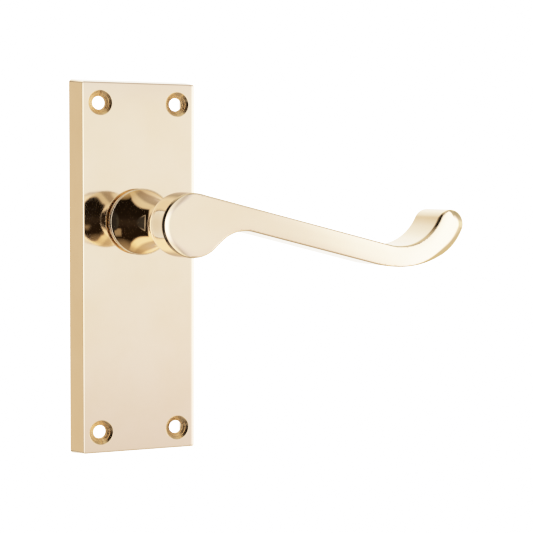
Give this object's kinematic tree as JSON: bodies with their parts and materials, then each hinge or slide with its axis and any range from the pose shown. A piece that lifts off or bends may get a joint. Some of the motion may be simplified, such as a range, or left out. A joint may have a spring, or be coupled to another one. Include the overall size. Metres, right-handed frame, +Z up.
{
  "type": "lever latch handle",
  "caption": "Lever handle with a flat scroll-ended arm on a short rectangular backplate; the lever turns down against a hidden return spring and drives a square spindle.",
  "frame": {"origin": "on the lever's axis, where the square spindle comes out of the door's face that the plate rests on", "axes": "+Z up along the plate, +X across the plate towards the lever's scroll, +Y into the door; the lever stands out towards -Y"},
  "size_m": [0.1112, 0.0583, 0.12],
  "materials": {
    "polished_brass": "mirror-polished and lacquered",
    "plain_brass": "plain turned",
    "black_nylon": "moulded nylon",
    "zinc_steel": "bright zinc plated",
    "hard_steel": "ground, oiled",
    "spring_steel": "phosphated"
  },
  "bodies": {
    "plate": {"backplate": "polished_brass", "neck_bush": "black_nylon", "cassette_case": "zinc_steel", "cassette_cover": "zinc_steel", "cover_rivets": "plain_brass", "stop_pins": "hard_steel", "cassette_screws": "zinc_steel", "return_spring": "spring_steel"},
    "lever": {"lever": "polished_brass", "rotor_cam": "hard_steel", "thrust_washer": "zinc_steel", "wave_washer": "spring_steel", "circlip": "spring_steel"}
  },
  "joints": [
    {"name": "lever_turn", "type": "hinge", "parent": "plate", "child": "lever", "pos_m": [0, 0, 0], "axis": [0, 1, 0], "range_deg": [0, 45], "stiffness_Nm_per_rad": 0.35, "springref_deg": -40.11, "deforming": ["return_spring"]}
  ]
}
